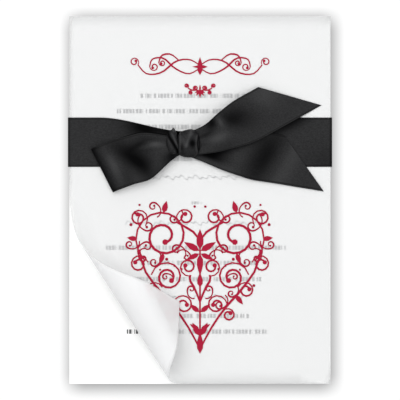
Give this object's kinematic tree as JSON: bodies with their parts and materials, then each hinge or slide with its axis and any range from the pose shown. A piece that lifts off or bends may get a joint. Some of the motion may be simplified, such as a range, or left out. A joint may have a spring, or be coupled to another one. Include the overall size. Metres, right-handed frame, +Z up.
{
  "type": "invitation card",
  "caption": "Flat white card under a translucent overlay with a curled corner, held by a black satin ribbon tied in a half bow, with a red scrollwork heart.",
  "frame": {"origin": "on the surface the invitation lies on, below the middle of its bounding box", "axes": "+Y towards the card's head, +X to the reader's right, +Z up out of the card's face"},
  "size_m": [0.1288, 0.1788, 0.0219],
  "materials": {
    "card": "smooth matt white card",
    "overlay_sheet": "translucent vellum, faint sheen",
    "ribbon": "woven satin",
    "heart_ornament": "raised printing ink",
    "crest_ornament": "raised printing ink",
    "pen_flourish": "raised printing ink"
  },
  "bodies": {
    "root": {"card": "card", "overlay_sheet": "overlay_sheet", "ribbon": "ribbon", "heart_ornament": "heart_ornament", "crest_ornament": "crest_ornament", "pen_flourish": "pen_flourish"}
  },
  "joints": []
}
